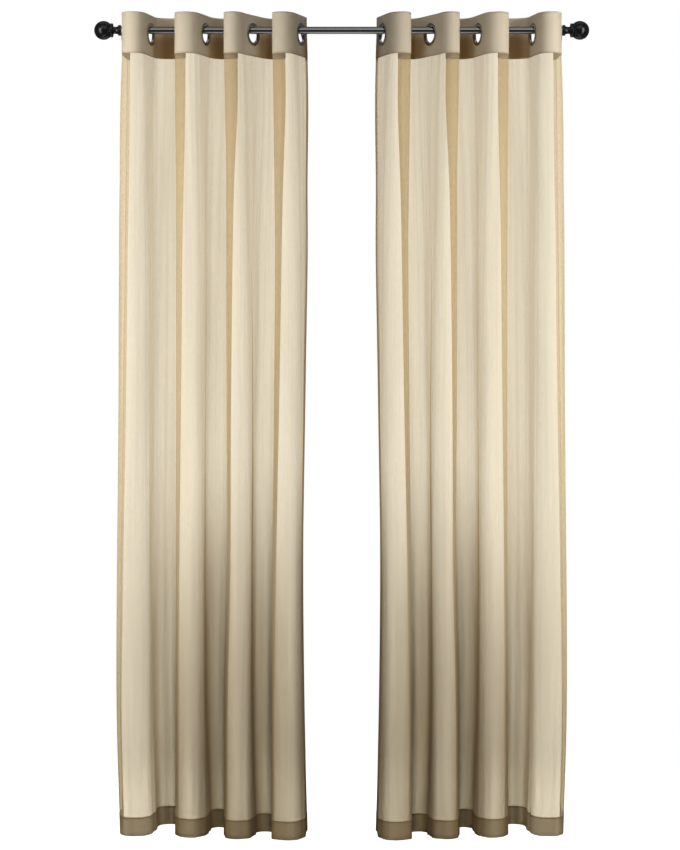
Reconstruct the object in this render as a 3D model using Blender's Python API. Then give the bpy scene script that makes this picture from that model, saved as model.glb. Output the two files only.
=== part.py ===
"""A pair of sheer voile curtains on eyelets, hung on one rod with ball finials.

Metres, +Z up. The origin is the middle of the rod, on its axis. +X runs along the rod
to the right as one faces the curtains, and +Y runs to their back.

Each panel is one length of voile, with a doubled heading band that eyelets pierce.
It hangs in the waves that its eyelets make, and a wave's cloth length is the same at every
height, so the folds only open and lean on their way down.
"""

from collections import namedtuple
from math import cos, pi, radians, sin, tau

import bmesh
import bpy
import numpy as np
from mathutils import Matrix

# Cloth, as it is cut and sewn
CLOTH_WIDTH = 1.372
EYELETS = 8
EYELET_PITCH = CLOTH_WIDTH / EYELETS
EDGE_TO_EYELET = EYELET_PITCH / 2
VOILE = 0.0012
HEMMED = 0.0022
SIDE_HEM = 0.025
BOTTOM_HEM = 0.048
HEADING_THICKNESS = 0.0020

# Heights above and drops below the rod's axis
HEADING_TOP = 0.0395
HEADING_DROP = 0.0675
HEM_DROP_OUTER = 2.085
HEM_DROP_INNER = 2.101

# Rod and finials
ROD_RADIUS = 0.0095
ROD_HALF = 0.5827
FINIAL_START = 0.5760

# Eyelet rings
RING_BORE = 0.0210
RING_BARREL = 0.0235
RING_FLANGE = 0.0295

# Clearances
GAP = 0.0003
HOLE_PLAY = 0.0007

# Eyelet holes in the heading
HOLE_RADIUS = RING_BARREL + HOLE_PLAY
HOLE_SIDES = 24
HOLE_CUT = 0.020

# How the cloth is divided
FLAT_AT_EYELET = 0.031
FLAT_LOW = 0.014
FLAT_EASES_FROM = 0.13
FLAT_EASES_OVER = 0.50
OUTER_END_TURN = 6
INNER_END_TURN = 10
FOLD_COLUMNS = 7
HEM_STEP = 0.0010

# How finely a fold's line is walked, and how closely it is made to span its reach
WALK_STEPS = 60
MOST_TRIES = 30
CLOSE_ENOUGH = 1e-8
NUDGE = 1e-5
LARGEST_CHANGE = 0.3

# Sides of the turned pieces
ROD_SIDES = 20
RING_SIDES = 16
MERGE = 1e-5

# Angles past which an edge is shaded sharp, in degrees
CLOTH_SHARP = 40
METAL_SHARP = 45

# A fold is the cloth between two eyelets that stands to the front. Its outer and inner flank
# cross the rod at these distances from the middle, and lean from the straight-back direction
# by these degrees, each towards the middle on its way back.
Fold = namedtuple("Fold", "outer inner outer_lean inner_lean")
Level = namedtuple("Level", "drop folds")
LEVELS = [
    Level(HEADING_DROP, [Fold(0.571, 0.4995, 7, 10), Fold(0.421, 0.3565, 18, 15),
                         Fold(0.290, 0.2320, 20, 27), Fold(0.165, 0.1065, 20, 17)]),
    Level(0.130, [Fold(0.573, 0.4990, 7, 10), Fold(0.421, 0.3565, 18, 15),
                  Fold(0.289, 0.2305, 20, 27), Fold(0.164, 0.1030, 20, 17)]),
    Level(0.450, [Fold(0.575, 0.4980, 6, 8), Fold(0.422, 0.3570, 15, 10),
                  Fold(0.291, 0.2310, 15, 18), Fold(0.166, 0.1010, 17, 12)]),
    Level(0.970, [Fold(0.578, 0.4970, 5, 4), Fold(0.425, 0.3570, 11, 2),
                  Fold(0.295, 0.2310, 9, 3), Fold(0.171, 0.1010, 12, 5)]),
    Level(1.490, [Fold(0.584, 0.4960, 4, -1), Fold(0.428, 0.3570, 6, -3),
                  Fold(0.296, 0.2340, 3, -2), Fold(0.177, 0.1030, 8, 2)]),
    Level(1.750, [Fold(0.585, 0.4960, 3, -4), Fold(0.429, 0.3570, 4, -4),
                  Fold(0.301, 0.2360, 2, -3), Fold(0.179, 0.1000, 5, 0)]),
    Level(2.110, [Fold(0.576, 0.4940, 2, -5), Fold(0.431, 0.3550, 2, -4),
                  Fold(0.305, 0.2360, 2, -3), Fold(0.182, 0.0960, 2, 0)]),
]

# Drops at which a panel has a row of points, above its hem
PANEL_DROPS = [0.180, 0.310, 0.450, 0.700, 0.970, 1.230, 1.490, 1.750]

# Half of an eyelet ring's section, from its bore out over the front flange and into the
# groove that grips the heading
RingPoint = namedtuple("RingPoint", "depth radius")
GROOVE = HEADING_THICKNESS / 2 + GAP
RING_HALF = [
    RingPoint(0.0016, RING_BORE),
    RingPoint(0.0032, 0.0235),
    RingPoint(0.0028, 0.0270),
    RingPoint(GROOVE, RING_FLANGE),
    RingPoint(GROOVE, RING_BARREL),
]

# A finial's section, from the floor of its socket round its mouth to the neck of its ball.
# Distances run outwards from the mouth of the socket.
FinialPoint = namedtuple("FinialPoint", "along radius")
SOCKET_DEPTH = ROD_HALF - FINIAL_START + GAP
SOCKET_RADIUS = ROD_RADIUS + GAP
BALL_RADIUS = 0.0245
BALL_CENTRE = 0.0455
FINIAL_FOOT = [
    FinialPoint(SOCKET_DEPTH, 0.0),
    FinialPoint(SOCKET_DEPTH, SOCKET_RADIUS),
    FinialPoint(0.0000, SOCKET_RADIUS),
    FinialPoint(0.0000, 0.0132),
    FinialPoint(0.0012, 0.0140),
    FinialPoint(0.0072, 0.0140),
    FinialPoint(0.0092, 0.0108),
    FinialPoint(0.0145, 0.0092),
    FinialPoint(0.0198, 0.0108),
    FinialPoint(0.0208, 0.0172),
    FinialPoint(0.0228, 0.0182),
    FinialPoint(0.0268, 0.0182),
    FinialPoint(0.0288, 0.0168),
]
BALL_RINGS = 9
BALL_FROM = radians(130)


def clear_scene():
    for item in list(bpy.data.objects):
        bpy.data.objects.remove(item, do_unlink=True)


def make_material(name, colour, roughness, metallic):
    material = bpy.data.materials.new(name)
    material.use_nodes = True
    material.diffuse_color = (*colour, 1.0)
    shader = material.node_tree.nodes["Principled BSDF"]
    shader.inputs["Base Color"].default_value = (*colour, 1.0)
    shader.inputs["Roughness"].default_value = roughness
    shader.inputs["Metallic"].default_value = metallic
    return material


def add_object(name, bm, material):
    mesh = bpy.data.meshes.new(name)
    bm.to_mesh(mesh)
    bm.free()
    if material:
        mesh.materials.append(material)
    thing = bpy.data.objects.new(name, mesh)
    bpy.context.scene.collection.objects.link(thing)
    return thing


def smooth(thing, sharp_angle):
    thing.data.shade_smooth()
    thing.data.set_sharp_from_angle(angle=radians(sharp_angle))


def mix(a, b, t):
    return a + (b - a) * t


def ease(t):
    """Goes from 0 to 1 with level ends."""
    t = min(max(t, 0.0), 1.0)
    return (1 - cos(pi * t)) / 2


def folds_at(drop):
    """The four folds at this drop, eased between the levels above and below."""
    for upper, lower in zip(LEVELS, LEVELS[1:]):
        if drop <= lower.drop:
            t = max(drop - upper.drop, 0.0) / (lower.drop - upper.drop)
            return [Fold(*(mix(a, b, ease(t)) for a, b in zip(*pair)))
                    for pair in zip(upper.folds, lower.folds)]
    return LEVELS[-1].folds


def flat_at(drop):
    """Half of the straight stretch across the rod: wide as a ring at the heading."""
    return mix(FLAT_AT_EYELET, FLAT_LOW, ease((drop - FLAT_EASES_FROM) / FLAT_EASES_OVER))


def flanks(folds):
    """Where each eyelet stands across the rod, and the way that the cloth runs there."""
    crossings = []
    for fold in folds:
        crossings.append((-fold.outer, radians(-90 - fold.outer_lean)))
        crossings.append((-fold.inner, radians(90 - fold.inner_lean)))
    return crossings


def bearing(start, end, swell, skew, t):
    """The cloth's direction, a part t of the way round a fold."""
    return start + (end - start) * ease(t) + swell * sin(pi * t) + skew * sin(2 * pi * t)


def walk(bearing_at, length):
    """Points along a line that starts at nought and follows these bearings."""
    step = length / WALK_STEPS
    x = y = 0.0
    points = [(x, y)]
    for n in range(WALK_STEPS):
        direction = bearing_at((n + 0.5) / WALK_STEPS)
        x += cos(direction) * step
        y += sin(direction) * step
        points.append((x, y))
    return points


def fold_line(start, end, reach, length):
    """A fold with these end bearings, whose cloth length just spans this reach.

    Its swell and skew are found by Newton's method."""
    swell = 0.0
    skew = 0.0

    def miss(swell, skew):
        tip = walk(lambda t: bearing(start, end, swell, skew, t), length)[-1]
        return tip[0] - reach[0], tip[1] - reach[1]

    for _ in range(MOST_TRIES):
        off_x, off_y = miss(swell, skew)
        if abs(off_x) + abs(off_y) < CLOSE_ENOUGH:
            break
        swell_x, swell_y = miss(swell + NUDGE, skew)
        skew_x, skew_y = miss(swell, skew + NUDGE)
        slopes = np.array([[swell_x - off_x, skew_x - off_x], [swell_y - off_y, skew_y - off_y]]) / NUDGE
        change = np.linalg.solve(slopes, (off_x, off_y))
        change *= min(1.0, LARGEST_CHANGE / np.abs(change).max())
        swell -= change[0]
        skew -= change[1]
    return walk(lambda t: bearing(start, end, swell, skew, t), length)


def along(direction, distance):
    return cos(direction) * distance, sin(direction) * distance


def end_line(direction, turn, flat):
    """The half wave from an edge eyelet to the selvedge: straight, then turning."""
    def bearing_at(t):
        return direction + radians(turn) * ease((t * EDGE_TO_EYELET - flat) / (EDGE_TO_EYELET - flat))
    return walk(bearing_at, EDGE_TO_EYELET)


def plan_line(drop):
    """The cloth seen from above at this drop, as (distance along the cloth, x, y)."""
    flat = flat_at(drop)
    crossings = flanks(folds_at(drop))
    x, direction = crossings[0]
    step = EDGE_TO_EYELET / WALK_STEPS
    outer = end_line(direction + pi, OUTER_END_TURN, flat)
    line = [(EDGE_TO_EYELET - n * step, x + px, py) for n, (px, py) in enumerate(outer)][::-1]
    for n, (here, there) in enumerate(zip(crossings, crossings[1:])):
        leave = along(here[1], flat)
        arrive = along(there[1], flat)
        reach = (there[0] - arrive[0] - here[0] - leave[0], -arrive[1] - leave[1])
        length = EYELET_PITCH - 2 * flat
        start = EDGE_TO_EYELET + n * EYELET_PITCH + flat
        for k, (px, py) in enumerate(fold_line(here[1], there[1], reach, length)):
            line.append((start + length * k / WALK_STEPS, here[0] + leave[0] + px, leave[1] + py))
    x, direction = crossings[-1]
    start = CLOTH_WIDTH - EDGE_TO_EYELET
    inner = end_line(direction, INNER_END_TURN, flat)
    line += [(start + n * step, x + px, py) for n, (px, py) in enumerate(inner)]
    return line


def read_line(line, s):
    """The point of a plan line at this distance along the cloth."""
    for (s0, x0, y0), (s1, x1, y1) in zip(line, line[1:]):
        if s <= s1 and s1 > s0:
            t = (s - s0) / (s1 - s0)
            return mix(x0, x1, t), mix(y0, y1, t)
    return line[-1][1:]


def column_places(hemmed):
    """Distances along the cloth at which it has a column of points."""
    places = [0.0]
    if hemmed:
        places += [SIDE_HEM, SIDE_HEM + HEM_STEP]
    places.append(EDGE_TO_EYELET - FLAT_AT_EYELET)
    for n in range(EYELETS - 1):
        start = EDGE_TO_EYELET + n * EYELET_PITCH + FLAT_AT_EYELET
        length = EYELET_PITCH - 2 * FLAT_AT_EYELET
        places += [start + length * k / FOLD_COLUMNS for k in range(FOLD_COLUMNS + 1)]
    places.append(CLOTH_WIDTH - EDGE_TO_EYELET + FLAT_AT_EYELET)
    if hemmed:
        places += [CLOTH_WIDTH - SIDE_HEM - HEM_STEP, CLOTH_WIDTH - SIDE_HEM]
    places.append(CLOTH_WIDTH)
    return places


def hem_drop(s):
    """The lower edge hangs a little longer towards the middle of the pair."""
    return mix(HEM_DROP_OUTER, HEM_DROP_INNER, s / CLOTH_WIDTH)


def level_row(drop):
    return lambda s: drop


def row_above_hem(rise):
    return lambda s: hem_drop(s) - rise


def draw_cloth(rows, columns, side):
    """A flat sheet whose rows and columns of points are carried to their places in the folds.

    A row is a function that gives the drop at a distance along the cloth."""
    bm = bmesh.new()
    spans = (len(columns) - 1, len(rows) - 1)
    bmesh.ops.create_grid(bm, x_segments=spans[0], y_segments=spans[1], size=0.5)
    lines = [plan_line(row(CLOTH_WIDTH / 2)) for row in rows]
    for vert in bm.verts:
        column = round((0.5 + vert.co.x) * spans[0])
        row = round((0.5 - vert.co.y) * spans[1])
        s = columns[column]
        x, y = read_line(lines[row], s)
        vert.co = (-side * x, y, -rows[row](s))
    return bm


def thicken(thing, thickness, group=None, least=1.0):
    solid = thing.modifiers.new("thickness", "SOLIDIFY")
    solid.thickness = thickness
    solid.offset = 0.0
    solid.use_even_offset = True
    if group:
        solid.vertex_group = group.name
        solid.thickness_vertex_group = least


def add_panel(name, side, material):
    """One length of voile below its heading, with its side hems and its bottom hem."""
    rows = [level_row(HEADING_DROP + GAP)]
    rows += [level_row(drop) for drop in PANEL_DROPS]
    rows += [row_above_hem(BOTTOM_HEM + HEM_STEP), row_above_hem(BOTTOM_HEM), row_above_hem(0.0)]
    columns = column_places(hemmed=True)
    bm = draw_cloth(rows, columns, side)
    bm.verts.index_update()
    doubled = []
    for vert in bm.verts:
        column = vert.index % len(columns)
        row_from_bottom = vert.index // len(columns)
        if column <= 1 or column >= len(columns) - 2 or row_from_bottom <= 1:
            doubled.append(vert.index)
    panel = add_object(name, bm, material)
    hems = panel.vertex_groups.new(name="hems")
    hems.add(doubled, 1.0, "REPLACE")
    thicken(panel, HEMMED, hems, VOILE / HEMMED)
    smooth(panel, CLOTH_SHARP)


def ring_places(side):
    """Centre and turn of each eyelet ring, hung on the rod by the flats of its bore."""
    height = ROD_RADIUS + GAP - RING_BORE * cos(pi / RING_SIDES)
    places = []
    for x, direction in flanks(LEVELS[0].folds):
        turn = side * (pi / 2 - direction)
        places.append(((-side * x, 0.0, height), turn))
    return places


def add_eyelet_cutter(name, places):
    bm = bmesh.new()
    for centre, turn in places:
        place = Matrix.Translation(centre) @ Matrix.Rotation(turn, 4, "Z") @ Matrix.Rotation(pi / 2, 4, "Y")
        bmesh.ops.create_cone(bm, cap_ends=True, segments=HOLE_SIDES, depth=HOLE_CUT,
                              radius1=HOLE_RADIUS, radius2=HOLE_RADIUS, matrix=place)
    cutter = add_object(name, bm, None)
    cutter.hide_render = True
    cutter.display_type = "WIRE"
    return cutter


def add_heading(name, side, places, material):
    """The doubled band along the top, pierced for its eyelets."""
    rows = [level_row(-HEADING_TOP), level_row(HEADING_DROP)]
    heading = add_object(name, draw_cloth(rows, column_places(hemmed=False), side), material)
    thicken(heading, HEADING_THICKNESS)
    holes = heading.modifiers.new("eyelet holes", "BOOLEAN")
    holes.operation = "DIFFERENCE"
    holes.solver = "EXACT"
    holes.object = add_eyelet_cutter(name + "_cutter", places)
    smooth(heading, CLOTH_SHARP)


def turn_profile(name, points, sides, material):
    """A body turned about X from (distance along X, radius) points."""
    bm = bmesh.new()
    vertices = [bm.verts.new((along_x, 0.0, radius)) for along_x, radius in points]
    edges = [bm.edges.new(pair) for pair in zip(vertices, vertices[1:])]
    bmesh.ops.spin(bm, geom=vertices + edges, cent=(0, 0, 0), axis=(1, 0, 0), angle=tau,
                   steps=sides, use_merge=True, use_duplicate=False)
    bmesh.ops.remove_doubles(bm, verts=bm.verts, dist=MERGE)
    bmesh.ops.recalc_face_normals(bm, faces=bm.faces)
    thing = add_object(name, bm, material)
    smooth(thing, METAL_SHARP)
    return thing


def add_rings(panel_name, places, material):
    back_half = [(-point.depth, point.radius) for point in reversed(RING_HALF)]
    front_half = [(point.depth, point.radius) for point in RING_HALF]
    section = front_half + back_half
    first = turn_profile(panel_name + "_ring_1", section + section[:1], RING_SIDES, material)
    rings = [first]
    for number in range(2, EYELETS + 1):
        ring = bpy.data.objects.new(f"{panel_name}_ring_{number}", first.data)
        bpy.context.scene.collection.objects.link(ring)
        rings.append(ring)
    for ring, (centre, turn) in zip(rings, places):
        ring.location = centre
        ring.rotation_euler = (0.0, 0.0, turn)


def add_rod(material):
    bm = bmesh.new()
    bmesh.ops.create_cone(bm, cap_ends=True, segments=ROD_SIDES, depth=2 * ROD_HALF,
                          radius1=ROD_RADIUS, radius2=ROD_RADIUS,
                          matrix=Matrix.Rotation(pi / 2, 4, "Y"))
    smooth(add_object("rod", bm, material), METAL_SHARP)


def add_finials(material):
    ball = []
    for n in range(BALL_RINGS + 1):
        angle = BALL_FROM * (1 - n / BALL_RINGS)
        ball.append((BALL_CENTRE + BALL_RADIUS * cos(angle), BALL_RADIUS * sin(angle)))
    section = [tuple(point) for point in FINIAL_FOOT] + ball
    right = turn_profile("finial_right", section, ROD_SIDES, material)
    left = bpy.data.objects.new("finial_left", right.data)
    bpy.context.scene.collection.objects.link(left)
    right.location = (FINIAL_START, 0.0, 0.0)
    left.location = (-FINIAL_START, 0.0, 0.0)
    left.rotation_euler = (0.0, 0.0, pi)


def build():
    clear_scene()
    voile = make_material("voile", (0.60, 0.50, 0.36), 0.85, 0.0)
    doubled = make_material("heading voile", (0.50, 0.40, 0.27), 0.85, 0.0)
    eyelet_metal = make_material("eyelet metal", (0.16, 0.15, 0.14), 0.28, 1.0)
    rod_metal = make_material("rod metal", (0.06, 0.06, 0.065), 0.35, 1.0)
    finial_metal = make_material("finial metal", (0.02, 0.02, 0.022), 0.25, 1.0)
    for name, side in (("left", -1), ("right", 1)):
        places = ring_places(side)
        add_panel("panel_" + name, side, voile)
        add_heading("heading_" + name, side, places, doubled)
        add_rings(name, places, eyelet_metal)
    add_rod(rod_metal)
    add_finials(finial_metal)


build()
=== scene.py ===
from collections import namedtuple
from math import cos, pi, radians, sin, tau

import bmesh
import bpy
import numpy as np
from mathutils import Matrix, Vector


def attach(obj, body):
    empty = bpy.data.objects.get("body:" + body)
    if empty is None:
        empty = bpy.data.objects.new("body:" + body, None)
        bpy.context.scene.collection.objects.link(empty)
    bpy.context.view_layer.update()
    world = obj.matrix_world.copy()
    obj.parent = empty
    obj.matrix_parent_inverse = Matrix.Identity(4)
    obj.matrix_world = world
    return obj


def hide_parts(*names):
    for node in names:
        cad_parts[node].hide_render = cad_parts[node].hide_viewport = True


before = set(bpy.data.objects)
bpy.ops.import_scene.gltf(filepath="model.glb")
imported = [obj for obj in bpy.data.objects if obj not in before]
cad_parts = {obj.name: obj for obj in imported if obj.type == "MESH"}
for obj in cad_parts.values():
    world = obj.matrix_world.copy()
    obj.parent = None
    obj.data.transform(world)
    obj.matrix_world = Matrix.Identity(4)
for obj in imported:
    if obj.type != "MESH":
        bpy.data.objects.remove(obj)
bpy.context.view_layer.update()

# The cloth as it is cut and sewn, in metres
CLOTH_WIDTH = 1.372
EYELETS = 8
EYELET_PITCH = CLOTH_WIDTH / EYELETS
EDGE_TO_EYELET = EYELET_PITCH / 2
VOILE = 0.0004
HEMMED = 0.0013
SIDE_HEM = 0.025
BOTTOM_HEM = 0.048
HEM_STEP = 0.0008
HEADING_THICKNESS = 0.0019

# Heights above and drops below the rod's axis. The hem's are at its outer edge, at each crest
# and valley, and at its inner edge.
HEADING_TOP = 0.0395
HEADING_DROP = 0.0675
TUCK_INTO_HEADING = 0.008
HEM_DROPS = (2.085, 2.091, 2.0855, 2.094, 2.0945, 2.0975, 2.1055, 2.1015, 2.097)

# Rod, finials and eyelets
GAP = 0.0003
ROD_RADIUS = 0.0095
ROD_HALF = 0.5827
FINIAL_START = 0.5760
RING_BORE = 0.0210
RING_BARREL = 0.0234
RING_FLANGE = 0.0295
HOLE_RADIUS = 0.0242
RING_SIDES_IN_FRAME = 16
RING_CENTRE_DROP = RING_BORE * cos(pi / RING_SIDES_IN_FRAME) - ROD_RADIUS - GAP

# Nearly the same folds as in the frame, with the eyelets turned a little further. Each fold's
# outer and inner flank cross the rod at these distances from the middle, and lean by these
# degrees towards the middle on their way back.
Fold = namedtuple("Fold", "outer inner outer_lean inner_lean")
Level = namedtuple("Level", "drop folds")
LEVELS = [
    Level(HEADING_DROP, [Fold(0.5685, 0.4995, 2, 14), Fold(0.421, 0.3565, 18, 20),
                         Fold(0.2885, 0.2320, 24, 31), Fold(0.1635, 0.1075, 24, 20)]),
    Level(0.130, [Fold(0.5705, 0.4990, 3, 12), Fold(0.421, 0.3565, 18, 18),
                  Fold(0.2875, 0.2305, 24, 29), Fold(0.1625, 0.1050, 24, 19)]),
    Level(0.450, [Fold(0.575, 0.4980, 6, 8), Fold(0.422, 0.3570, 15, 10),
                  Fold(0.291, 0.2310, 15, 18), Fold(0.166, 0.1010, 17, 12)]),
    Level(0.970, [Fold(0.578, 0.4970, 5, 4), Fold(0.425, 0.3570, 11, 2),
                  Fold(0.295, 0.2310, 9, 3), Fold(0.171, 0.1010, 12, 5)]),
    Level(1.490, [Fold(0.584, 0.4960, 4, -1), Fold(0.428, 0.3570, 6, -3),
                  Fold(0.296, 0.2340, 3, -2), Fold(0.177, 0.1030, 8, 2)]),
    Level(1.750, [Fold(0.585, 0.4950, 3, -2), Fold(0.429, 0.3560, 4, -2),
                  Fold(0.301, 0.2350, 2, -1), Fold(0.179, 0.0995, 5, 1)]),
    Level(2.110, [Fold(0.576, 0.4860, 2, 9), Fold(0.431, 0.3470, 2, 9),
                  Fold(0.305, 0.2290, 2, 8), Fold(0.182, 0.0940, 2, 4)]),
]
FLAT_AT_EYELET = 0.031
FLAT_LOW = 0.014
FLAT_EASES_FROM = 0.13
FLAT_EASES_OVER = 0.50
OUTER_END_TURN = -10
OUTER_END_TURN_LOW = 4
INNER_END_TURN = 36
INNER_END_CURL_AT_TOP = 40
INNER_END_TURN_LOW = 10

# How finely the cloth is drawn
PANEL_COLUMNS = 300
PANEL_ROWS = 84
HEM_ROWS = 6
HEADING_ROWS = 16
WALK_STEPS = 80
MOST_TRIES = 30
CLOSE_ENOUGH = 1e-9
NUDGE = 1e-5
LARGEST_CHANGE = 0.3

# Small waves that run down the cloth: their width along it, depth, start and drift with the drop
Ripple = namedtuple("Ripple", "width depth start drift")
RIPPLES = [
    Ripple(0.063, 0.0013, 0.4, 1.3),
    Ripple(0.037, 0.0008, 2.1, -2.2),
    Ripple(0.021, 0.0004, 4.0, 3.1),
]
RIPPLES_FROM = 0.09
RIPPLES_GROWN_OVER = 0.45
PUCKER_WIDTH = 0.012
PUCKER_DEPTH = 0.00035
PUCKER_REACH = 0.011

# Stitches, which are as long ovals through the cloth
STITCH_PITCH = 0.0032
STITCH_LENGTH = 0.0025
STITCH_WIDTH = 0.0006
STITCH_RISE = 0.0006
SEAM_INSET = 0.0035

# How dense the cloth looks, as a number of layers, with painted shade added to it; the colour
# darkens as it rises. A hem and a seam add to it.
SIDE_HEM_DENSER = 0.5
# The bottom hem's count is partly its doubled cloth and partly painted shade.
BOTTOM_HEM_DENSER_AND_SHADE = 4.0
SEAM_DENSER = 3.0
SEAM_LINE = 0.0028

# Painted light: the outer edge is drawn thinner, and so lighter, as far as this distance along
# the cloth.
OUTER_END_LIGHTENED_SHARE = 0.6
OUTER_END_LIGHTENED_REACH = 0.12

# Where a fold turns away the cloth is denser as it is seen edge-on, on its two flanks and then
# evenly lower down. Partly this is painted shade, which darkens the flanks as creases, most of
# all the inner ones.
OUTER_FLANK_DENSITY_AND_SHADE = 0.2
INNER_FLANK_DENSITY_AND_SHADE = 0.75
EDGE_DENSITY_AND_SHADE_LOW = 1.0
EDGE_FROM = 0.45
EDGE_OVER = 0.90
EDGE_POWER = 4

# Painted shade: towards the floor the cloth is denser and darker, most of all at the back in the
# valleys. The outermost fold has only a share of that, and of the flanks' shade lower down.
LOW_SHADE = 2.8
LOW_SHADE_FROM = 1.05
LOW_SHADE_OVER = 0.90
BACK_SHADE = 1.3
SHADE_BEHIND_REACH = 0.05
OUTERMOST_SHADE_SHARE = 0.18
OUTERMOST_SHADE_REACH = 0.62

# The heading is several layers thick. Behind the rod, and most of all below it, its valleys get
# painted shade as extra layers, which darken its colour.
HEADING_LAYERS = 3.0
HEADING_SHADE_UNDER_ROD = 9.0
SHADED_FROM = -0.010
SHADED_OVER = 0.035

# The number of layers at which the painted shade gives the cloth its darkest colour
DARKEST_SHADE_LAYERS = 13.0

# The camera that the photograph was taken with
CAMERA_DISTANCE = 6.0
EYE_DROP = 0.8733
FOCAL_PIXELS = 2299.0
SENSOR = 36.0
IMAGE_WIDTH = 680
IMAGE_HEIGHT = 850
MIDDLE_COLUMN = 341.7
HORIZON_ROW = 365.0

# The colour of the lamps at the cloth's front
CLOTH_LIGHT = (1.0, 0.985, 0.955)

# The floor, which fades out between two distances from the middle
FLOOR_DROP = 2.128
FLOOR_RADIUS = 1.8
FLOOR_FADES_FROM = 0.7
FLOOR_FADES_TO = 1.7


def mix(a, b, t):
    return a + (b - a) * t


def ease(t):
    """Goes from 0 to 1 with level ends."""
    return (1 - np.cos(pi * np.clip(t, 0.0, 1.0))) / 2


# The shape of the hanging cloth

LEVEL_DROPS = np.array([level.drop for level in LEVELS])
LEVEL_VALUES = np.array([[tuple(fold) for fold in level.folds] for level in LEVELS])
LEVEL_SLOPES = np.gradient(LEVEL_VALUES, LEVEL_DROPS, axis=0)


def folds_at(drop):
    """The four folds at this drop, on a smooth curve through the levels."""
    drop = min(max(drop, LEVEL_DROPS[0]), LEVEL_DROPS[-1])
    n = min(int(np.searchsorted(LEVEL_DROPS, drop, side="right")) - 1, len(LEVEL_DROPS) - 2)
    span = LEVEL_DROPS[n + 1] - LEVEL_DROPS[n]
    t = (drop - LEVEL_DROPS[n]) / span
    return ((2 * t ** 3 - 3 * t ** 2 + 1) * LEVEL_VALUES[n]
            + (t ** 3 - 2 * t ** 2 + t) * span * LEVEL_SLOPES[n]
            + (3 * t ** 2 - 2 * t ** 3) * LEVEL_VALUES[n + 1]
            + (t ** 3 - t ** 2) * span * LEVEL_SLOPES[n + 1])


def flanks(folds):
    """Where each eyelet stands across the rod, and the way that the cloth runs there."""
    crossings = []
    for outer, inner, outer_lean, inner_lean in folds:
        crossings.append((-outer, radians(-90 - outer_lean)))
        crossings.append((-inner, radians(90 - inner_lean)))
    return crossings


MIDDLES = (np.arange(WALK_STEPS) + 0.5) / WALK_STEPS


def walk(bearings, length):
    """Points along a line that starts at nought and follows these bearings."""
    steps = np.column_stack([np.cos(bearings), np.sin(bearings)]) * length / WALK_STEPS
    return np.vstack([[0.0, 0.0], np.cumsum(steps, axis=0)])


def fold_line(start, end, reach, length):
    """A fold with these end bearings, whose cloth length just spans this reach."""
    plain = start + (end - start) * ease(MIDDLES)
    swelling = np.sin(pi * MIDDLES)
    skewing = np.sin(tau * MIDDLES)
    amounts = np.zeros(2)

    def miss(swell, skew):
        return walk(plain + swell * swelling + skew * skewing, length)[-1] - reach

    for _ in range(MOST_TRIES):
        off = miss(*amounts)
        if np.abs(off).sum() < CLOSE_ENOUGH:
            break
        by_swell = (miss(amounts[0] + NUDGE, amounts[1]) - off) / NUDGE
        by_skew = (miss(amounts[0], amounts[1] + NUDGE) - off) / NUDGE
        change = np.linalg.solve(np.column_stack([by_swell, by_skew]), off)
        amounts -= change * min(1.0, LARGEST_CHANGE / np.abs(change).max())
    return walk(plain + amounts[0] * swelling + amounts[1] * skewing, length)


def end_line(direction, turn, flat):
    """The half wave from an edge eyelet to the selvedge: straight, then turning."""
    turned = (MIDDLES * EDGE_TO_EYELET - flat) / (EDGE_TO_EYELET - flat)
    return walk(direction + radians(turn) * ease(turned), EDGE_TO_EYELET)


def plan_line(drop):
    """The left cloth seen from above at this drop: rows of (distance along it, x, y)."""
    eased = ease((drop - FLAT_EASES_FROM) / FLAT_EASES_OVER)
    flat = mix(FLAT_AT_EYELET, FLAT_LOW, eased)
    crossings = flanks(folds_at(drop))
    half = np.linspace(0.0, EDGE_TO_EYELET, WALK_STEPS + 1)
    x, direction = crossings[0]
    turn = mix(OUTER_END_TURN, OUTER_END_TURN_LOW, eased)
    outer = end_line(direction + pi, turn, flat) + (x, 0.0)
    parts = [np.column_stack([EDGE_TO_EYELET - half, outer])[::-1]]
    length = EYELET_PITCH - 2 * flat
    for n, (here, there) in enumerate(zip(crossings, crossings[1:])):
        leave = np.array([cos(here[1]), sin(here[1])]) * flat + (here[0], 0.0)
        arrive = (there[0], 0.0) - np.array([cos(there[1]), sin(there[1])]) * flat
        line = fold_line(here[1], there[1], arrive - leave, length) + leave
        start = EDGE_TO_EYELET + n * EYELET_PITCH + flat
        parts.append(np.column_stack([np.linspace(start, start + length, WALK_STEPS + 1), line]))
    x, direction = crossings[-1]
    turn = mix(INNER_END_TURN, INNER_END_TURN_LOW, eased)
    curl = INNER_END_CURL_AT_TOP * (1 - ease((drop + HEADING_TOP) / (HEADING_TOP + HEADING_DROP)))
    inner = end_line(direction, turn + curl, flat) + (x, 0.0)
    parts.append(np.column_stack([CLOTH_WIDTH - EDGE_TO_EYELET + half, inner]))
    return np.vstack(parts)


def ripple(s, drop):
    """How far the cloth stands off its main folds, in small waves and in puckers at its seams."""
    grown = ease((drop - RIPPLES_FROM) / RIPPLES_GROWN_OVER)
    wave = sum(r.depth * np.sin(tau * s / r.width + r.start + r.drift * drop) for r in RIPPLES)
    above_hem = hem_drop(s) - BOTTOM_HEM - drop
    near_seam = np.exp(-np.abs(drop - HEADING_DROP) / PUCKER_REACH)
    near_seam = near_seam + np.exp(-np.abs(above_hem) / PUCKER_REACH)
    pucker = PUCKER_DEPTH * np.sin(tau * s / PUCKER_WIDTH + 2 * np.sin(tau * s / 0.11))
    return wave * grown + pucker * near_seam * (drop > HEADING_DROP + 0.0005)


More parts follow.
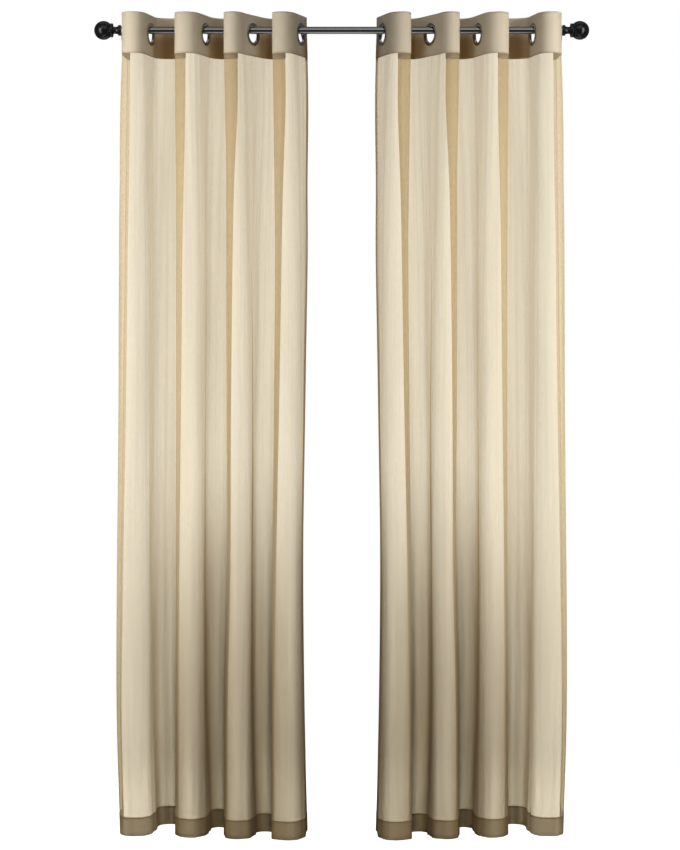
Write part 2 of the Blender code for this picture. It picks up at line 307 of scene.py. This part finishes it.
def hem_drop(s):
    """How far the hem hangs, on a smooth curve through its drops at the crests and valleys."""
    drops = np.array(HEM_DROPS)
    place = np.asarray(s) / EYELET_PITCH
    before = np.minimum(place.astype(int), len(drops) - 2)
    return mix(drops[before], drops[before + 1], ease(place - before))


PLAN_DROPS = np.concatenate([np.linspace(-HEADING_TOP, HEADING_DROP, 8)[:-1],
                             np.linspace(HEADING_DROP, 0.30, 36)[:-1], np.linspace(0.30, 2.11, 92)])
PLAN_LINES = [plan_line(drop) for drop in PLAN_DROPS]
Cloth = namedtuple("Cloth", "columns drops points runs normals")


def hang(columns, drops):
    """The left cloth on its folds. columns are distances along it, and drops has a row of them
    for each row of points."""
    plans = np.array([[np.interp(columns, line[:, 0], line[:, axis]) for axis in (1, 2)]
                      for line in PLAN_LINES])
    slopes = np.gradient(plans, columns, axis=2)
    place = np.interp(drops, PLAN_DROPS, np.arange(len(PLAN_DROPS)))
    upper = np.minimum(place.astype(int), len(PLAN_DROPS) - 2)
    t = place - upper
    column = np.arange(len(columns))[None, :]
    x, y = (mix(plans[upper, axis, column], plans[upper + 1, axis, column], t) for axis in (0, 1))
    run_x, run_y = (mix(slopes[upper, axis, column], slopes[upper + 1, axis, column], t)
                    for axis in (0, 1))
    length = np.hypot(run_x, run_y)
    runs = np.stack([run_x / length, run_y / length, np.zeros_like(x)], axis=-1)
    normals = np.stack([-runs[..., 1], runs[..., 0], np.zeros_like(x)], axis=-1)
    points = np.stack([x, y, -drops], axis=-1) + normals * ripple(columns, drops)[..., None]
    return Cloth(columns, drops, points, runs, normals)


def cloth_columns():
    """Distances along the cloth: even ones, with a step at each side hem's edge."""
    at_hem = np.linspace(0.0, SIDE_HEM, 7)
    inside = np.linspace(SIDE_HEM + HEM_STEP, CLOTH_WIDTH - SIDE_HEM - HEM_STEP, PANEL_COLUMNS - 14)
    return np.concatenate([at_hem, inside, CLOTH_WIDTH - at_hem[::-1]])


def spread(top, bottom, rows):
    """Rows of drops from top to bottom, which may each be a number or one drop per column."""
    t = np.linspace(0.0, 1.0, rows)[:, None]
    return mix(np.asarray(top) * np.ones_like(COLUMNS), np.asarray(bottom), t)


COLUMNS = cloth_columns()


# Meshes

def add_object(name, bm, crease=180):
    """Puts the mesh in the scene, smooth but for edges sharper than crease degrees."""
    mesh = bpy.data.meshes.new(name)
    bm.to_mesh(mesh)
    bm.free()
    mesh.shade_smooth()
    if crease < 180:
        mesh.set_sharp_from_angle(angle=radians(crease))
    thing = bpy.data.objects.new(name, mesh)
    bpy.context.scene.collection.objects.link(thing)
    return thing


def sew_sheet(name, cloth, side, layers):
    """A sheet through the cloth's points, with a UV map in metres along and down the cloth and
    a layer count at each point, which carries painted shade as well. side is -1 on the left and 1
    on the right."""
    rows, columns = cloth.drops.shape
    bm = bmesh.new()
    bmesh.ops.create_grid(bm, x_segments=columns - 1, y_segments=rows - 1, size=0.5)
    bm.verts.index_update()
    uv = bm.loops.layers.uv.new("cloth")
    for vert in bm.verts:
        row = rows - 1 - vert.index // columns
        column = vert.index % columns
        x, y, z = cloth.points[row, column]
        vert.co = (-side * x, y, z)
        for loop in vert.link_loops:
            loop[uv].uv = (cloth.columns[column], cloth.drops[row, column])
    sheet = add_object(name, bm)
    attribute = sheet.data.attributes.new("layers", "FLOAT", "POINT")
    attribute.data.foreach_set("value", np.flipud(layers).astype(np.float32).ravel())
    return sheet


def thicken(sheet, thickness, doubled=None, least=1.0):
    solid = sheet.modifiers.new("thickness", "SOLIDIFY")
    solid.thickness = thickness
    solid.offset = 0.0
    solid.use_even_offset = True
    if doubled is not None:
        group = sheet.vertex_groups.new(name="doubled")
        group.add([int(n) for n in np.flatnonzero(np.flipud(doubled).ravel())], 1.0, "REPLACE")
        solid.vertex_group = group.name
        solid.thickness_vertex_group = least


def settle(thing):
    """Applies what modifies the piece."""
    depsgraph = bpy.context.evaluated_depsgraph_get()
    mesh = bpy.data.meshes.new_from_object(thing.evaluated_get(depsgraph))
    thing.modifiers.clear()
    thing.data = mesh


def make_panel(side_name, side):
    """The voile below its heading, doubled at its side hems and its bottom hem."""
    hem_top = hem_drop(COLUMNS) - BOTTOM_HEM
    drops = np.vstack([
        spread(HEADING_DROP - TUCK_INTO_HEADING, hem_top - HEM_STEP, PANEL_ROWS),
        spread(hem_top, hem_top + SEAM_LINE, 2),
        spread(hem_top + SEAM_LINE + HEM_STEP, hem_drop(COLUMNS), HEM_ROWS - 2),
    ])
    cloth = hang(COLUMNS, drops)
    at_side = (COLUMNS <= SIDE_HEM) | (COLUMNS >= CLOTH_WIDTH - SIDE_HEM)
    doubled = np.zeros(drops.shape, bool)
    doubled[:, at_side] = True
    doubled[-HEM_ROWS:] = True
    layers = np.ones(drops.shape)
    layers[:, at_side] += SIDE_HEM_DENSER
    # Painted light: the outer end is drawn thinner, so that it looks lighter.
    layers *= mix(OUTER_END_LIGHTENED_SHARE, 1.0, ease(2 * COLUMNS / OUTER_END_LIGHTENED_REACH - 1))
    # Edge-on flanks are denser; the inner flanks' larger count is painted shade.
    edge_on = np.abs(cloth.normals[:, :, 0]) ** EDGE_POWER
    flank = np.where(cloth.normals[:, :, 0] < 0, INNER_FLANK_DENSITY_AND_SHADE, OUTER_FLANK_DENSITY_AND_SHADE)
    share = mix(OUTERMOST_SHADE_SHARE, 1.0, ease(COLUMNS / OUTERMOST_SHADE_REACH))
    lower = share * ease((drops - EDGE_FROM) / EDGE_OVER)
    layers *= 1 + edge_on * mix(flank, EDGE_DENSITY_AND_SHADE_LOW, lower)
    # Painted shade, as extra layers, in the valleys at the back and towards the floor.
    shade_behind = BACK_SHADE * ease(cloth.points[:, :, 1] / SHADE_BEHIND_REACH)
    layers *= 1 + share * (LOW_SHADE + shade_behind) * ease((drops - LOW_SHADE_FROM) / LOW_SHADE_OVER)
    # The bottom hem: its doubled cloth, and painted shade on top of that.
    layers[-HEM_ROWS:] += BOTTOM_HEM_DENSER_AND_SHADE
    layers[-HEM_ROWS:2 - HEM_ROWS] += SEAM_DENSER
    panel = sew_sheet("voile_" + side_name, cloth, side, layers)
    thicken(panel, HEMMED, doubled, VOILE / HEMMED)
    return panel, cloth


def sew_stitches(name, side, seams):
    """Rows of stitches. Each seam is a cloth with one point to each stitch, the stitches'
    height through the cloth, and whether they run down it and not along it."""
    mirror = np.array([-side, 1.0, 1.0])
    places = []
    for cloth, height, downward in seams:
        points, runs, normals = (part.reshape(-1, 3) * mirror for part in cloth[2:])
        if downward:
            runs = np.broadcast_to((0.0, 0.0, -1.0), points.shape)
        across = np.cross(normals, runs)
        places.append(np.stack([points, runs * STITCH_LENGTH / 2, across * STITCH_WIDTH / 2,
                                normals * height / 2], axis=1))
    places = np.concatenate(places)
    bm = bmesh.new()
    bmesh.ops.create_icosphere(bm, subdivisions=1, radius=1.0)
    ball = np.array([vert.co for vert in bm.verts])
    made = 1
    while made < len(places):
        more = min(made, len(places) - made)
        bm.verts.ensure_lookup_table()
        verts = bm.verts[:more * len(ball)]
        faces = {face for vert in verts for face in vert.link_faces}
        edges = {edge for vert in verts for edge in vert.link_edges}
        bmesh.ops.duplicate(bm, geom=verts + list(edges) + list(faces))
        made += more
    stitches = add_object(name, bm)
    spots = places[:, None, 0] + np.einsum("vk,nkc->nvc", ball, places[:, 1:])
    stitches.data.vertices.foreach_set("co", spots.astype(np.float32).ravel())
    stitches.data.update()
    return stitches


def make_stitches(side_name, side):
    """Stitching along the heading's lower edge, the hem's upper edge and both side hems."""
    along = np.arange(STITCH_PITCH, CLOTH_WIDTH - 0.001, STITCH_PITCH)
    heading = hang(along, np.full((1, len(along)), HEADING_DROP - SEAM_INSET))
    hem = hang(along, (hem_drop(along) - BOTTOM_HEM + SEAM_INSET)[None, :])
    seams = [(heading, HEADING_THICKNESS + STITCH_RISE, False), (hem, HEMMED + STITCH_RISE, False)]
    for s in (SIDE_HEM - SEAM_INSET, CLOTH_WIDTH - SIDE_HEM + SEAM_INSET):
        down = np.arange(HEADING_DROP + STITCH_PITCH, hem_drop(s) - BOTTOM_HEM, STITCH_PITCH)
        beside = np.array([s - STITCH_WIDTH, s, s + STITCH_WIDTH])
        cloth = hang(beside, np.repeat(down[:, None], 3, axis=1))
        middle = Cloth(beside, down, cloth.points[:, 1], cloth.runs[:, 1], cloth.normals[:, 1])
        seams.append((middle, HEMMED + STITCH_RISE, True))
    return sew_stitches("stitching_" + side_name, side, seams)


def ring_places(side):
    """Centre and turn of each eyelet, hung on the rod by the top of its bore."""
    places = []
    for x, direction in flanks(LEVELS[0].folds):
        turn = side * (pi / 2 - direction)
        places.append(Matrix.Translation((-side * x, 0.0, -RING_CENTRE_DROP))
                      @ Matrix.Rotation(turn, 4, "Z"))
    return places


def make_heading(side_name, side):
    """The band along the top, folded double over its stiffening and pierced for the eyelets."""
    seam = HEADING_DROP - SEAM_LINE
    drops = np.vstack([spread(-HEADING_TOP, seam - HEM_STEP, HEADING_ROWS),
                       spread(seam, HEADING_DROP, 2)])
    cloth = hang(COLUMNS, drops)
    # Painted shade: the valleys behind and below the rod get extra layers, which darken the band.
    shade_behind = ease(cloth.points[:, :, 1] / SHADE_BEHIND_REACH)
    shaded = shade_behind * ease((drops - SHADED_FROM) / SHADED_OVER)
    layers = HEADING_LAYERS + HEADING_SHADE_UNDER_ROD * shaded
    layers[-2:] += SEAM_DENSER
    heading = sew_sheet("band_" + side_name, cloth, side, layers)
    thicken(heading, HEADING_THICKNESS)
    bm = bmesh.new()
    for place in ring_places(side):
        bmesh.ops.create_cone(bm, cap_ends=True, segments=64, depth=0.02, radius1=HOLE_RADIUS,
                              radius2=HOLE_RADIUS, matrix=place @ Matrix.Rotation(pi / 2, 4, "Y"))
    cutter = add_object("cutter", bm)
    holes = heading.modifiers.new("holes", "BOOLEAN")
    holes.operation = "DIFFERENCE"
    holes.solver = "EXACT"
    holes.object = cutter
    settle(heading)
    bpy.data.objects.remove(cutter)
    return heading, cloth


def turn_profile(name, section, sides, closed):
    """A body turned about X from (distance along X, radius) points."""
    bm = bmesh.new()
    vertices = [bm.verts.new((x, 0.0, radius)) for x, radius in section]
    pairs = list(zip(vertices, vertices[1:]))
    if closed:
        pairs.append((vertices[-1], vertices[0]))
    edges = [bm.edges.new(pair) for pair in pairs]
    bmesh.ops.spin(bm, geom=vertices + edges, cent=(0, 0, 0), axis=(1, 0, 0), angle=tau,
                   steps=sides, use_merge=True, use_duplicate=False)
    bmesh.ops.remove_doubles(bm, verts=bm.verts, dist=1e-6)
    bmesh.ops.recalc_face_normals(bm, faces=bm.faces)
    return add_object(name, bm, crease=35)


def arc(centre, radius, start, end, steps):
    """Points on an arc, with angles in degrees from the +X direction."""
    angles = [radians(mix(start, end, n / steps)) for n in range(steps + 1)]
    return [(centre[0] + radius * cos(a), centre[1] + radius * sin(a)) for a in angles]


def make_rings(side_name, side):
    """Pressed metal eyelets: two rolled flanges round a short barrel."""
    groove = HEADING_THICKNESS / 2 + 0.00025
    half = [(0.0004, RING_BORE)]
    half += arc((0.0014, RING_BORE + 0.0018), 0.0018, 270, 340, 4)[1:]
    half += [(0.0034, 0.0246), (0.0034, 0.0262)]
    half += arc((0.0018, 0.0279), 0.0016, 70, 0, 1)[:1]
    half += arc((0.0019, 0.0280), 0.00145, 45, 0, 2)
    half += [(0.0026, RING_FLANGE), (groove + 0.0002, RING_FLANGE), (groove, RING_FLANGE - 0.0006)]
    half += [(groove, RING_BARREL)]
    section = [(-x, radius) for x, radius in reversed(half)] + half
    first = turn_profile(f"eyelet_{side_name}_1", section, 72, closed=True)
    rings = []
    for number, place in enumerate(ring_places(side), start=1):
        mesh = first.data.copy()
        mesh.transform(place)
        rings.append(bpy.data.objects.new(f"eyelet_{side_name}_{number}", mesh))
    bpy.data.objects.remove(first)
    for number, ring in enumerate(rings, start=1):
        ring.name = f"eyelet_{side_name}_{number}"
        bpy.context.scene.collection.objects.link(ring)
    return rings


def make_rod():
    section = [(-ROD_HALF, 0.0), (-ROD_HALF, ROD_RADIUS - 0.0006), (-ROD_HALF + 0.0006, ROD_RADIUS)]
    section += [(-x, radius) for x, radius in reversed(section)]
    return turn_profile("curtain_rod", section, 96, closed=False)


def make_finial(name, side):
    """A cup that sleeves the rod's end, a waist, a collar and a ball."""
    depth = ROD_HALF - FINIAL_START + GAP
    section = [(depth, 0.0), (depth, ROD_RADIUS + GAP), (0.0, ROD_RADIUS + GAP), (0.0, 0.0130)]
    section += arc((0.0012, 0.0128), 0.0012, 180, 90, 3)[1:]
    section += arc((0.0062, 0.0130), 0.0010, 90, 0, 3)
    section += arc((0.0145, 0.0240), 0.0148, 228, 312, 12)
    section += [(0.0206, 0.0164)]
    section += arc((0.0222, 0.0168), 0.0014, 180, 90, 4)
    section += arc((0.0270, 0.0168), 0.0014, 90, 0, 4)
    section += [(0.0288, 0.0166)]
    section += arc((0.0455, 0.0), 0.0245, 133, 0, 30)
    finial = turn_profile(name, section, 96, closed=False)
    place = Matrix.Translation((side * FINIAL_START, 0.0, 0.0))
    if side < 0:
        place = place @ Matrix.Rotation(pi, 4, "Z")
    finial.data.transform(place)
    return finial


# Materials

class Nodes:
    """A material's node tree, built from the output back."""

    def __init__(self, name):
        self.material = bpy.data.materials.new(name)
        self.material.use_nodes = True
        self.tree = self.material.node_tree
        self.tree.nodes.clear()
        self.output = self.tree.nodes.new("ShaderNodeOutputMaterial")

    def add(self, kind, inputs=None, **settings):
        node = self.tree.nodes.new("ShaderNode" + kind)
        for name, value in settings.items():
            setattr(node, name, value)
        for name, value in (inputs or {}).items():
            if isinstance(value, bpy.types.NodeSocket):
                self.tree.links.new(value, node.inputs[name])
            else:
                node.inputs[name].default_value = value
        return node

    def maths(self, operation, a, b=0.0, clamp=False):
        return self.add("Math", {0: a, 1: b}, operation=operation, use_clamp=clamp).outputs[0]

    def weighted(self, parts):
        """The sum of each value times its weight."""
        total = self.maths("MULTIPLY", *parts[0])
        for value, weight in parts[1:]:
            total = self.maths("ADD", total, self.maths("MULTIPLY", value, weight))
        return total

    def surface(self, socket):
        self.tree.links.new(socket, self.output.inputs["Surface"])
        return self.material


def streaks(nodes, where, across, down, detail=2.0):
    """Noise drawn out along the cloth: across and down are its grain sizes in metres."""
    placed = nodes.add("Mapping", {"Vector": where, "Scale": (1 / across, 1 / down, 1.0)})
    noise = nodes.add("TexNoise", {"Vector": placed.outputs[0], "Scale": 1.0, "Detail": detail})
    return noise.outputs["Fac"]


def threads(nodes, where, direction, pitch):
    """A wave with one crest to each thread."""
    scale = tau / 20 / pitch
    wave = nodes.add("TexWave", {"Vector": where, "Scale": scale, "Distortion": 0.0},
                     wave_type="BANDS", bands_direction=direction, wave_profile="SIN")
    return wave.outputs["Fac"]


def voile_material(name, reflect, shade_colour, transmit, seen_through, let_by, glow):
    """Sheer plain weave, whose colour darkens from reflect towards shade_colour as its layer count
    rises: partly the tint of layered cloth, mostly painted shade. let_by is the share of light
    that one surface of one layer passes straight through, glow the share of the rest that it
    scatters on to its other side, which is less where it is denser."""
    nodes = Nodes(name)
    where = nodes.add("UVMap", uv_map="cloth").outputs[0]
    layers = nodes.add("Attribute", attribute_name="layers").outputs["Fac"]
    fine = streaks(nodes, where, 0.0011, 0.05)
    broad = streaks(nodes, where, 0.019, 0.9)
    cloudy = streaks(nodes, where, 0.05, 0.5)
    warp = threads(nodes, where, "X", 0.00085)
    weft = threads(nodes, where, "Y", 0.00095)
    uneven = nodes.weighted(((fine, 0.30), (broad, 0.9), (cloudy, 0.6)))
    weave = nodes.maths("MULTIPLY", nodes.maths("ADD", warp, weft), 0.16)
    density = nodes.maths("SUBTRACT", nodes.maths("ADD", uneven, weave), 0.06)
    density = nodes.maths("MULTIPLY", density, layers)
    clear = nodes.maths("POWER", let_by, density)
    shade = nodes.add("MapRange", {"Value": uneven, "From Min": 0.6, "From Max": 1.2,
                                   "To Min": 1.05, "To Max": 0.94}).outputs[0]
    # Painted shade: the colour darkens towards shade_colour as the layer count rises.
    depth = nodes.add("MapRange", {"Value": layers, "From Min": 1.0,
                                   "From Max": DARKEST_SHADE_LAYERS}).outputs[0]
    shade_ratio = [low / high for low, high in zip(shade_colour, reflect)]
    shaded_tint = nodes.add("Gamma", {"Color": (*shade_ratio, 1.0), "Gamma": depth}).outputs[0]
    hue = nodes.add("MixRGB", {"Fac": 1.0, "Color1": (*reflect, 1.0), "Color2": shaded_tint},
                    blend_type="MULTIPLY").outputs[0]
    colour = nodes.add("HueSaturation", {"Value": shade, "Color": hue}).outputs[0]
    through = nodes.add("HueSaturation", {"Value": shade, "Color": (*transmit, 1.0)}).outputs[0]
    height = nodes.weighted(((warp, 0.5), (weft, 0.5), (fine, 0.8)))
    bump = nodes.add("Bump", {"Strength": 0.25, "Distance": 0.00025, "Height": height}).outputs[0]
    front = nodes.add("BsdfPrincipled", {
        "Base Color": colour, "Roughness": 0.72, "Specular IOR Level": 0.0, "Sheen Weight": 0.06,
        "Sheen Roughness": 0.45, "Normal": bump}).outputs[0]
    back = nodes.add("BsdfTranslucent", {"Color": through, "Normal": bump}).outputs[0]
    passed_on = nodes.add("MapRange", {
        "Value": depth, "To Min": glow, "To Max": glow / 5}).outputs[0]
    threads_seen = nodes.add("MixShader", {0: passed_on, 1: front, 2: back}).outputs[0]
    open_weave = nodes.add("BsdfTransparent", {"Color": (*seen_through, 1.0)}).outputs[0]
    return nodes.surface(nodes.add("MixShader", {
        0: clear, 1: threads_seen, 2: open_weave}).outputs[0])


def thread_material(name, colour):
    """Spun sewing thread, a little darker along its length here and there."""
    nodes = Nodes(name)
    where = nodes.add("TexCoord").outputs["Object"]
    noise = nodes.add("TexNoise", {"Vector": where, "Scale": 400.0, "Detail": 2.0}).outputs["Fac"]
    value = nodes.add("MapRange", {"Value": noise, "To Min": 0.7, "To Max": 1.2}).outputs[0]
    tinted = nodes.add("HueSaturation", {"Value": value, "Color": (*colour, 1.0)}).outputs[0]
    bump = nodes.add("Bump", {"Strength": 0.3, "Distance": 0.0002, "Height": noise}).outputs[0]
    return nodes.surface(nodes.add("BsdfPrincipled", {
        "Base Color": tinted, "Roughness": 0.6, "Sheen Weight": 0.2, "Normal": bump}).outputs[0])


def metal_material(name, colour, roughness, metallic, grain, specular=0.5):
    """Lacquered or plated metal, with a faint unevenness in its polish."""
    nodes = Nodes(name)
    where = nodes.add("TexCoord").outputs["Object"]
    drawn = nodes.add("Mapping", {"Vector": where, "Scale": grain}).outputs[0]
    noise = nodes.add("TexNoise", {"Vector": drawn, "Scale": 1.0, "Detail": 4.0}).outputs["Fac"]
    rough = nodes.add("MapRange", {
        "Value": noise, "From Min": 0.3, "From Max": 0.7,
        "To Min": roughness * 0.8, "To Max": roughness * 1.25}).outputs[0]
    value = nodes.add("MapRange", {
        "Value": noise, "From Min": 0.3, "From Max": 0.7,
        "To Min": 0.88, "To Max": 1.1}).outputs[0]
    tinted = nodes.add("HueSaturation", {"Value": value, "Color": (*colour, 1.0)}).outputs[0]
    bump = nodes.add("Bump", {"Strength": 0.06, "Distance": 0.0002, "Height": noise}).outputs[0]
    return nodes.surface(nodes.add("BsdfPrincipled", {
        "Base Color": tinted, "Metallic": metallic, "Roughness": rough, "Normal": bump,
        "Specular IOR Level": specular}).outputs[0])


def floor_material():
    """Pale floor that fades out away from the curtains."""
    nodes = Nodes("pale floor")
    where = nodes.add("TexCoord").outputs["Object"]
    far = nodes.add("VectorMath", {0: where}, operation="LENGTH").outputs["Value"]
    fade = nodes.add("MapRange", {
        "Value": far, "From Min": FLOOR_FADES_FROM, "From Max": FLOOR_FADES_TO},
        interpolation_type="SMOOTHSTEP").outputs[0]
    pale = nodes.add("BsdfDiffuse", {"Color": (0.92, 0.92, 0.915, 1.0)}).outputs[0]
    clear = nodes.add("BsdfTransparent").outputs[0]
    return nodes.surface(nodes.add("MixShader", {0: fade, 1: pale, 2: clear}).outputs[0])


def dress(thing, material):
    thing.data.materials.clear()
    thing.data.materials.append(material)


# Stage, lights and camera

def add_floor():
    bm = bmesh.new()
    bmesh.ops.create_circle(bm, cap_ends=True, segments=96, radius=FLOOR_RADIUS)
    floor = add_object("floor", bm)
    floor.location = (0.0, 0.0, -FLOOR_DROP)
    floor.visible_diffuse = False
    dress(floor, floor_material())
    return floor


def add_light(name, place, target, size, power, colour=(1.0, 1.0, 1.0), lit=None, spread=180,
              shadowed_by=None):
    """A soft lamp, which may light and be shadowed by only some of the pieces. spread is its
    beam in degrees."""
    lamp = bpy.data.lights.new(name, "AREA")
    lamp.shape = "RECTANGLE"
    lamp.size, lamp.size_y = size
    lamp.energy = power
    lamp.color = colour
    lamp.spread = radians(spread)
    thing = bpy.data.objects.new(name, lamp)
    thing.location = place
    aim = Vector(target) - Vector(place)
    thing.rotation_euler = aim.to_track_quat("-Z", "Y").to_euler()
    bpy.context.scene.collection.objects.link(thing)
    for pieces, use in ((lit, "receiver_collection"), (shadowed_by, "blocker_collection")):
        if pieces:
            group = bpy.data.collections.new(name + " " + use)
            for piece in pieces:
                group.objects.link(piece)
            setattr(thing.light_linking, use, group)


def add_world(seen, lighting, mirrored):
    """A white surround, which lights the pieces and shines in their gloss less than it shows."""
    world = bpy.data.worlds.new("surround")
    bpy.context.scene.world = world
    world.use_nodes = True
    tree = world.node_tree
    tree.nodes.clear()
    output = tree.nodes.new("ShaderNodeOutputWorld")
    bright = tree.nodes.new("ShaderNodeBackground")
    bright.inputs["Color"].default_value = (1.0, 1.0, 1.0, 1.0)
    bright.inputs["Strength"].default_value = seen
    soft = tree.nodes.new("ShaderNodeBackground")
    soft.inputs["Color"].default_value = (1.0, 0.98, 0.95, 1.0)
    soft.inputs["Strength"].default_value = lighting
    glossy = tree.nodes.new("ShaderNodeBackground")
    glossy.inputs["Color"].default_value = (0.96, 0.98, 1.0, 1.0)
    glossy.inputs["Strength"].default_value = mirrored
    path = tree.nodes.new("ShaderNodeLightPath")
    for ray, shown in (("Is Glossy Ray", glossy), ("Is Camera Ray", bright)):
        choose = tree.nodes.new("ShaderNodeMixShader")
        tree.links.new(path.outputs[ray], choose.inputs[0])
        tree.links.new(soft.outputs[0], choose.inputs[1])
        tree.links.new(shown.outputs[0], choose.inputs[2])
        soft = choose
    tree.links.new(soft.outputs[0], output.inputs["Surface"])


def add_camera():
    lens = bpy.data.cameras.new("camera")
    lens.sensor_fit = "AUTO"
    lens.sensor_width = SENSOR
    lens.lens = SENSOR * FOCAL_PIXELS / IMAGE_HEIGHT
    lens.shift_x = (IMAGE_WIDTH / 2 - MIDDLE_COLUMN) / IMAGE_HEIGHT
    lens.shift_y = (HORIZON_ROW - IMAGE_HEIGHT / 2) / IMAGE_HEIGHT
    camera = bpy.data.objects.new("camera", lens)
    camera.location = (0.0, -CAMERA_DISTANCE, -EYE_DROP)
    camera.rotation_euler = (pi / 2, 0.0, 0.0)
    bpy.context.scene.collection.objects.link(camera)
    bpy.context.scene.camera = camera


# The pieces, put together

add_camera()
bpy.context.scene.view_settings.view_transform = "Standard"
bpy.context.scene.cycles.transparent_max_bounces = 40

# shade_colour is the painted shade that each cloth's densest parts darken to.
voile = voile_material(
    "voile", reflect=(0.80, 0.735, 0.62), shade_colour=(0.28, 0.175, 0.075), transmit=(0.82, 0.73, 0.47),
    seen_through=(1.0, 0.952, 0.85), let_by=0.775, glow=0.36)
band = voile_material(
    "heading band", reflect=(0.846, 0.796, 0.680), shade_colour=(0.35, 0.225, 0.115),
    transmit=(0.76, 0.60, 0.38), seen_through=(0.99, 0.92, 0.80), let_by=0.50, glow=0.12)
eyelet_metal = metal_material("dark nickel", (0.50, 0.49, 0.48), 0.20, 1.0, (60.0, 60.0, 60.0))
rod_metal = metal_material("gunmetal lacquer", (0.185, 0.186, 0.189), 0.10, 1.0, (2.0, 60.0, 60.0))
finial_metal = metal_material("black lacquer", (0.006, 0.006, 0.007), 0.18, 0.0, (40.0, 40.0, 40.0),
                              specular=0.25)
thread = thread_material("sewing thread", (0.36, 0.28, 0.17))

rod = make_rod()
dress(rod, rod_metal)
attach(rod, "root")
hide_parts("rod")

finials = []
for side_name, side in (("left", -1), ("right", 1)):
    finial = make_finial("ball_finial_" + side_name, side)
    dress(finial, finial_metal)
    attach(finial, "root")
    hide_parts("finial_" + side_name)
    finials.append(finial)

floor = add_floor()
lit_by = {}
for side_name, side in (("left", -1), ("right", 1)):
    panel, panel_cloth = make_panel(side_name, side)
    heading, heading_cloth = make_heading(side_name, side)
    rings = make_rings(side_name, side)
    stitches = make_stitches(side_name, side)
    dress(stitches, thread)
    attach(stitches, "root")
    dress(panel, voile)
    dress(heading, band)
    for number, ring in enumerate(rings, start=1):
        dress(ring, eyelet_metal)
        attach(ring, "root")
        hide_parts(f"{side_name}_ring_{number}")
    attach(panel, "root")
    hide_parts("panel_" + side_name)
    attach(heading, "root")
    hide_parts("heading_" + side_name)
    lit_by[side_name] = [panel, heading, stitches, *rings]

cloths = [piece for side_name in lit_by for piece in lit_by[side_name][:3]]
bands = [lit_by[side_name][1] for side_name in lit_by]
metals = [rod, *finials, *[piece for side_name in lit_by for piece in lit_by[side_name][3:]]]
for side_name, side in (("left", -1), ("right", 1)):
    add_light("key_" + side_name, (side * 1.2, -0.78, -0.6), (side * 0.6, 0.0, -0.7), (0.45, 1.9),
              8.2, CLOTH_LIGHT, lit_by[side_name] + finials, spread=110)
    add_light("heading_" + side_name, (side * 0.95, -1.3, 0.25), (side * 0.4, 0.0, 0.0),
              (0.4, 0.4), 1.1, CLOTH_LIGHT, bands)
add_light("middle", (0.0, -1.1, -1.1), (0.0, 0.0, -1.2), (0.15, 2.2), 7.5, CLOTH_LIGHT, cloths)
add_light("back", (0.0, 2.2, -0.6), (0.0, 0.0, -0.75), (1.8, 1.5), 11, (1.0, 0.97, 0.90), cloths)
add_light("tall box", (0.0, -3.0, 2.1), (0.0, 0.0, 0.0), (4.4, 2.7), 50, lit=metals)
add_light("low box", (0.0, 2.2, -2.2), (0.0, 0.0, 0.0), (4.0, 1.4), 9, lit=metals)
add_light("top box", (0.0, 0.3, 2.6), (0.0, 0.0, 0.0), (4.0, 1.6), 11, lit=metals)
add_light("over floor", (0.0, 0.0, 3.0), (0.0, 0.0, -FLOOR_DROP), (5.0, 5.0), 142, lit=[floor])
add_light("under cloth", (0.0, 0.0, -1.0), (0.0, 0.0, -FLOOR_DROP), (5.0, 5.0), 98, lit=[floor],
          shadowed_by=[floor])
add_light("front", (0.0, -2.6, 2.6), (0.0, 0.0, 0.0), (2.4, 0.8), 17, (1.0, 0.97, 0.93), bands)
add_world(1.0, 0.065, 0.10)
